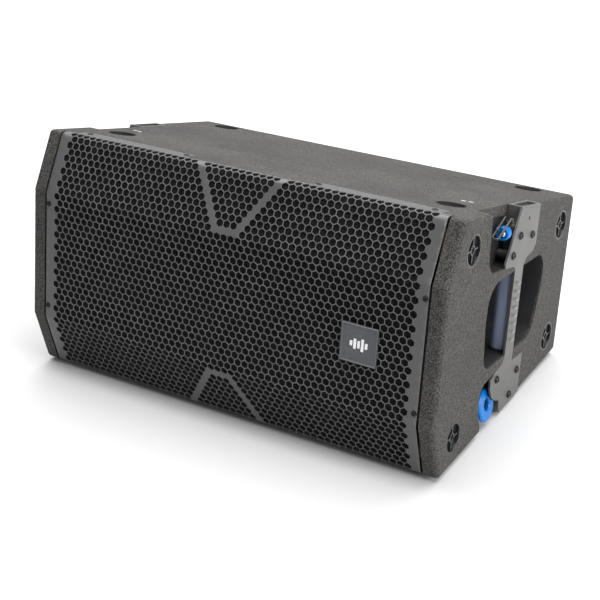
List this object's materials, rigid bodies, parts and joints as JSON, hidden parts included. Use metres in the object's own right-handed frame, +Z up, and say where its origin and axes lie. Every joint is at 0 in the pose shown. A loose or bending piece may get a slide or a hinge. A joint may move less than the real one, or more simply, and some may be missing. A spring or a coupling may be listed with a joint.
{
  "type": "line array speaker",
  "caption": "Wedge shaped powered two-way line array cabinet with folded grille, side handles, feet and built-in rigging pins and link bars.",
  "frame": {"origin": "middle of the footprint, on the plane the feet stand on", "axes": "+X to the side with the badge (right seen from the front), -Y the front with the grille, +Z up; the cabinet stands on its feet, so its bottom wall is level and its top slopes down to the rear"},
  "size_m": [0.666, 0.4701, 0.3578],
  "materials": {
    "badge_metal": "satin dark moulding",
    "black_plastic": "moulded",
    "blue_plastic": "glossy",
    "board_green": "circuit board",
    "cabinet_paint": "plywood under a pebbled dark grey coat",
    "coil_copper": "enamelled wire",
    "cone_paper": "coated paper",
    "dark_plastic": "moulded, fine grain",
    "dark_screw": "black oxide",
    "emblem": "bright",
    "foam": "open cell foam",
    "grille_paint": "satin powder coat",
    "grip_rubber": "smooth",
    "lamp_lens": "clear tinted",
    "magnet": "coated",
    "plate_steel": "matt dark grey coat",
    "plywood": "plain",
    "sink_aluminium": "black anodised",
    "steel": "bright",
    "surround_rubber": "matt",
    "titanium": "thin sheet",
    "tray_metal": "fine black coat"
  },
  "bodies": {
    "cabinet": {"amp_electronics": "board_green", "amp_screws": "dark_screw", "amp_tray": "tray_metal", "badge_emblem": "emblem", "badge_plate": "badge_metal", "bottom_panel": "cabinet_paint", "center_brace": "plywood", "compression_drivers": "magnet", "cup_and_foot_screws": "dark_screw", "driver_screws": "dark_screw", "feet": "surround_rubber", "front_baffle": "plywood", "grille": "grille_paint", "grille_foam": "foam", "grille_rails": "cabinet_paint", "grille_screws": "dark_screw", "handle_grip_left": "grip_rubber", "handle_grip_right": "grip_rubber", "heat_sink": "sink_aluminium", "hf_diaphragms": "titanium", "horn": "black_plastic", "indicator_lamp": "lamp_lens", "pocket_liner_left": "black_plastic", "pocket_liner_right": "black_plastic", "port_tubes": "black_plastic", "rear_panel": "cabinet_paint", "rear_sockets": "dark_plastic", "rigging_bolts": "dark_screw", "rigging_channels_left": "plate_steel", "rigging_channels_right": "plate_steel", "rigging_plate_left": "plate_steel", "rigging_plate_right": "plate_steel", "side_cups": "black_plastic", "side_wall_left": "cabinet_paint", "side_wall_right": "cabinet_paint", "top_cups": "black_plastic", "top_panel": "cabinet_paint", "woofer_basket": "dark_screw", "woofer_magnet": "magnet", "woofer_spider": "cone_paper", "woofer_surround": "surround_rubber"},
    "cone_assembly": {"woofer_cone": "cone_paper", "woofer_dust_cap": "cone_paper", "voice_coil": "coil_copper"},
    "knob": {"level_knob": "black_plastic"},
    "rocker": {"power_switch": "black_plastic"},
    "link_left": {"link_bar_left": "steel"},
    "detent_pin_left": {"upper_pin_left": "steel", "upper_pin_collar_left": "blue_plastic", "retaining_wire_left": "steel"},
    "pin_button_left": {"upper_pin_button_left": "steel"},
    "pull_pin_left": {"lower_pin_left": "steel", "lower_pin_ring_left": "blue_plastic"},
    "link_right": {"link_bar_right": "steel"},
    "detent_pin_right": {"upper_pin_right": "steel", "upper_pin_collar_right": "blue_plastic", "retaining_wire_right": "steel"},
    "pin_button_right": {"upper_pin_button_right": "steel"},
    "pull_pin_right": {"lower_pin_right": "steel", "lower_pin_ring_right": "blue_plastic"}
  },
  "joints": [
    {"name": "cone_travel", "type": "slide", "parent": "cabinet", "child": "cone_assembly", "axis": [0, -0.9914, 0.1305], "range_m": [-0.006, 0.006], "stiffness_N_per_m": 3000, "deforming": ["woofer_surround", "woofer_spider"]},
    {"name": "level_knob_turn", "type": "hinge", "parent": "cabinet", "child": "knob", "pos_m": [0.095, 0.19746, 0.0832], "axis": [0, 0.9914, -0.1305], "range_deg": [0, 300]},
    {"name": "power_switch_rock", "type": "hinge", "parent": "cabinet", "child": "rocker", "pos_m": [0.13, 0.19151, 0.08398], "axis": [1, 0, 0], "range_deg": [0, 10]},
    {"name": "link_rise_left", "type": "slide", "parent": "cabinet", "child": "link_left", "axis": [0, 0.1305, 0.9914], "range_m": [0, 0.034]},
    {"name": "detent_pin_pull_left", "type": "slide", "parent": "cabinet", "child": "detent_pin_left", "axis": [0, -0.9914, 0.1305], "range_m": [0, 0.03]},
    {"name": "pin_button_press_left", "type": "slide", "parent": "detent_pin_left", "child": "pin_button_left", "axis": [0, 0.9914, -0.1305], "range_m": [0, 0.003], "stiffness_N_per_m": 300, "springref_m": -0.004},
    {"name": "pull_ring_pull_left", "type": "slide", "parent": "cabinet", "child": "pull_pin_left", "axis": [0, -0.9914, 0.1305], "range_m": [0, 0.0115], "stiffness_N_per_m": 400, "springref_m": -0.01},
    {"name": "link_rise_right", "type": "slide", "parent": "cabinet", "child": "link_right", "axis": [0, 0.1305, 0.9914], "range_m": [0, 0.034]},
    {"name": "detent_pin_pull_right", "type": "slide", "parent": "cabinet", "child": "detent_pin_right", "axis": [0, -0.9914, 0.1305], "range_m": [0, 0.03]},
    {"name": "pin_button_press_right", "type": "slide", "parent": "detent_pin_right", "child": "pin_button_right", "axis": [0, 0.9914, -0.1305], "range_m": [0, 0.003], "stiffness_N_per_m": 300, "springref_m": -0.004},
    {"name": "pull_ring_pull_right", "type": "slide", "parent": "cabinet", "child": "pull_pin_right", "axis": [0, -0.9914, 0.1305], "range_m": [0, 0.0115], "stiffness_N_per_m": 400, "springref_m": -0.01}
  ]
}
